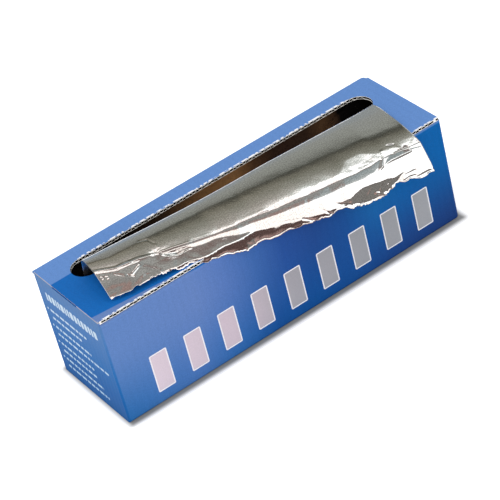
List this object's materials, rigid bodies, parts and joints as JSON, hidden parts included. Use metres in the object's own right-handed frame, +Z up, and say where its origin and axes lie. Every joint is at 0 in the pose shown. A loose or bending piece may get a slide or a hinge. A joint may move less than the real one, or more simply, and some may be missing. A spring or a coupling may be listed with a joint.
{
  "type": "foil roll in dispenser carton",
  "caption": "Roll of aluminium foil on a paper core in a closed corrugated carton, its sheet drawn up through a long slot in the top and draped, torn, over the front edge.",
  "frame": {"origin": "middle of the carton's resting face, on the surface it stands on", "axes": "+X along the carton's length and the roll's axis, +Y from the front panel to the back panel, +Z up"},
  "size_m": [0.34, 0.127, 0.1226],
  "materials": {
    "printed_board": "corrugated board, satin printed outside, plain brown inside",
    "foil": "thin bright foil, smooth with creases",
    "core_board": "plain wound paperboard"
  },
  "bodies": {
    "root": {"carton": "printed_board", "foil": "foil", "core_tube": "core_board"}
  },
  "joints": []
}
